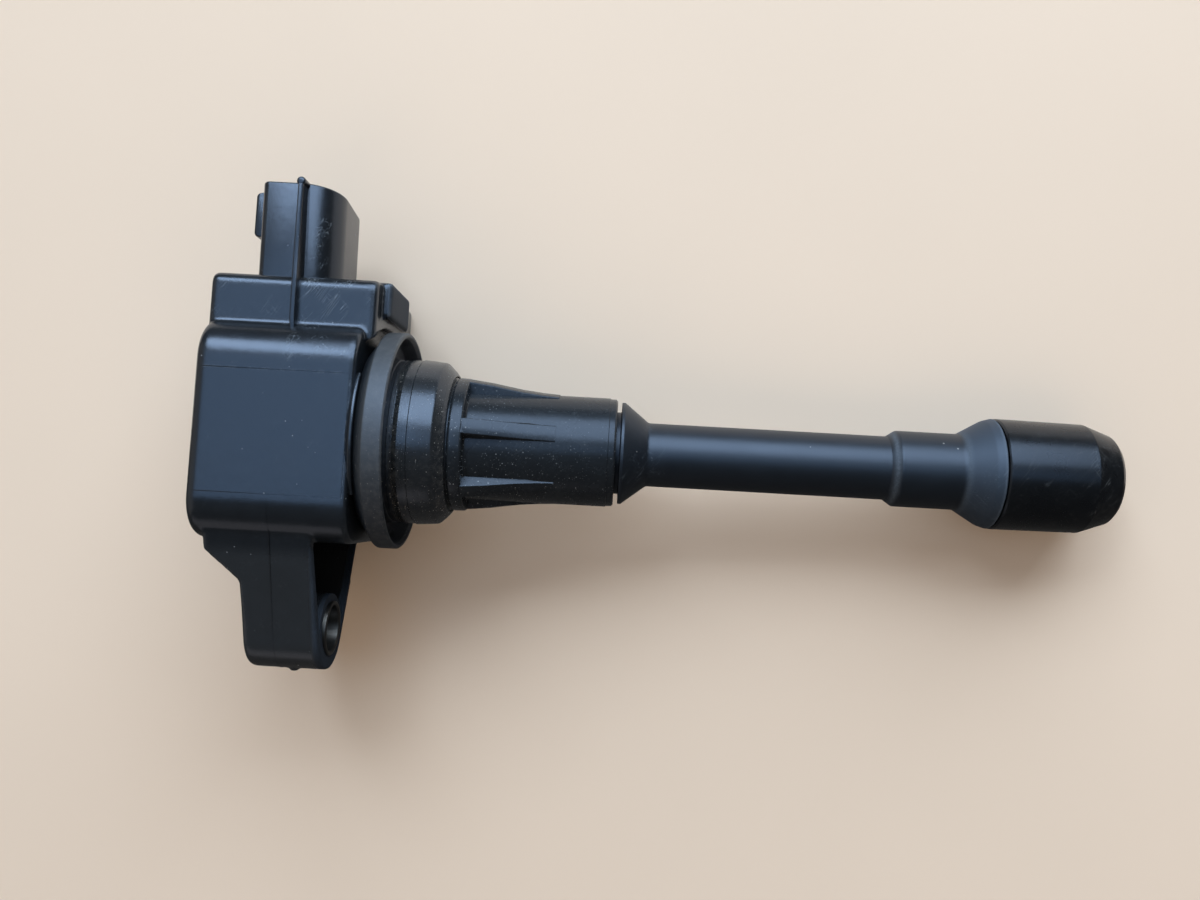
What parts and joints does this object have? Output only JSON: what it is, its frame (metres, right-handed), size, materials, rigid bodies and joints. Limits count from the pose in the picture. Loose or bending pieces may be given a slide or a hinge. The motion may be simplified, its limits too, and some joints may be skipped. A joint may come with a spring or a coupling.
{
  "type": "ignition coil",
  "caption": "Plug-top ignition coil: a boxy moulded head with side connector and bolt ear, rubber well seal, ribbed tower, slim stem with spring contact, and a rubber plug boot.",
  "frame": {"origin": "on the plug axis, at the middle of the seal's bead, the diameter that locates the coil in the plug well", "axes": "+X along the plug axis towards the spark plug, +Y towards the harness connector, +Z out of the head's front face, which is up when the coil lies on its back"},
  "size_m": [0.1658, 0.0886, 0.0402],
  "materials": {
    "case_plastic": "satin moulded black with fine scuffs",
    "epoxy": "poured black resin",
    "core_steel": "stacked steel sheet",
    "magnet": "sintered magnet",
    "bobbin_plastic": "natural moulded resin",
    "enamelled_copper": "enamelled copper wire",
    "chip_package": "moulded black package",
    "heat_plate": "plain sheet",
    "tinned_brass": "tin plate",
    "hv_brass": "turned brass",
    "bush_steel": "plated steel tube",
    "seal_rubber": "matte rubber with pale dust",
    "stem_plastic": "smooth semi-matte black",
    "spring_steel": "drawn wire",
    "boot_rubber": "satin rubber"
  },
  "bodies": {
    "head": {"coil_case": "case_plastic", "connector_shroud": "case_plastic", "bolt_ear": "case_plastic", "coil_tower": "case_plastic", "potting": "epoxy", "centre_core": "core_steel", "outer_core": "core_steel", "core_magnet": "magnet", "primary_bobbin": "bobbin_plastic", "primary_winding": "enamelled_copper", "secondary_bobbin": "bobbin_plastic", "secondary_winding": "enamelled_copper", "igniter_module": "chip_package", "igniter_heat_plate": "heat_plate", "hv_diode": "chip_package", "terminal_supply": "tinned_brass", "terminal_ground": "tinned_brass", "terminal_signal": "tinned_brass", "hv_terminal": "hv_brass", "mount_bush": "bush_steel"},
    "seal": {"well_seal": "seal_rubber"},
    "stem": {"stem_tube": "stem_plastic", "stem_bell": "stem_plastic", "stem_o_ring": "seal_rubber", "contact_spring": "spring_steel"},
    "contact": {"spring_tip": "spring_steel"},
    "boot": {"plug_boot": "boot_rubber"}
  },
  "joints": [
    {"name": "seal_slide", "type": "slide", "parent": "head", "child": "seal", "axis": [1, 0, 0], "range_m": [0, 0.028]},
    {"name": "stem_pull", "type": "slide", "parent": "head", "child": "stem", "axis": [1, 0, 0], "range_m": [0, 0.024]},
    {"name": "boot_pull", "type": "slide", "parent": "stem", "child": "boot", "axis": [1, 0, 0], "range_m": [0, 0.014]},
    {"name": "contact_press", "type": "slide", "parent": "stem", "child": "contact", "axis": [-1, 0, 0], "range_m": [0, 0.006], "stiffness_N_per_m": 600, "deforming": ["contact_spring"]}
  ]
}
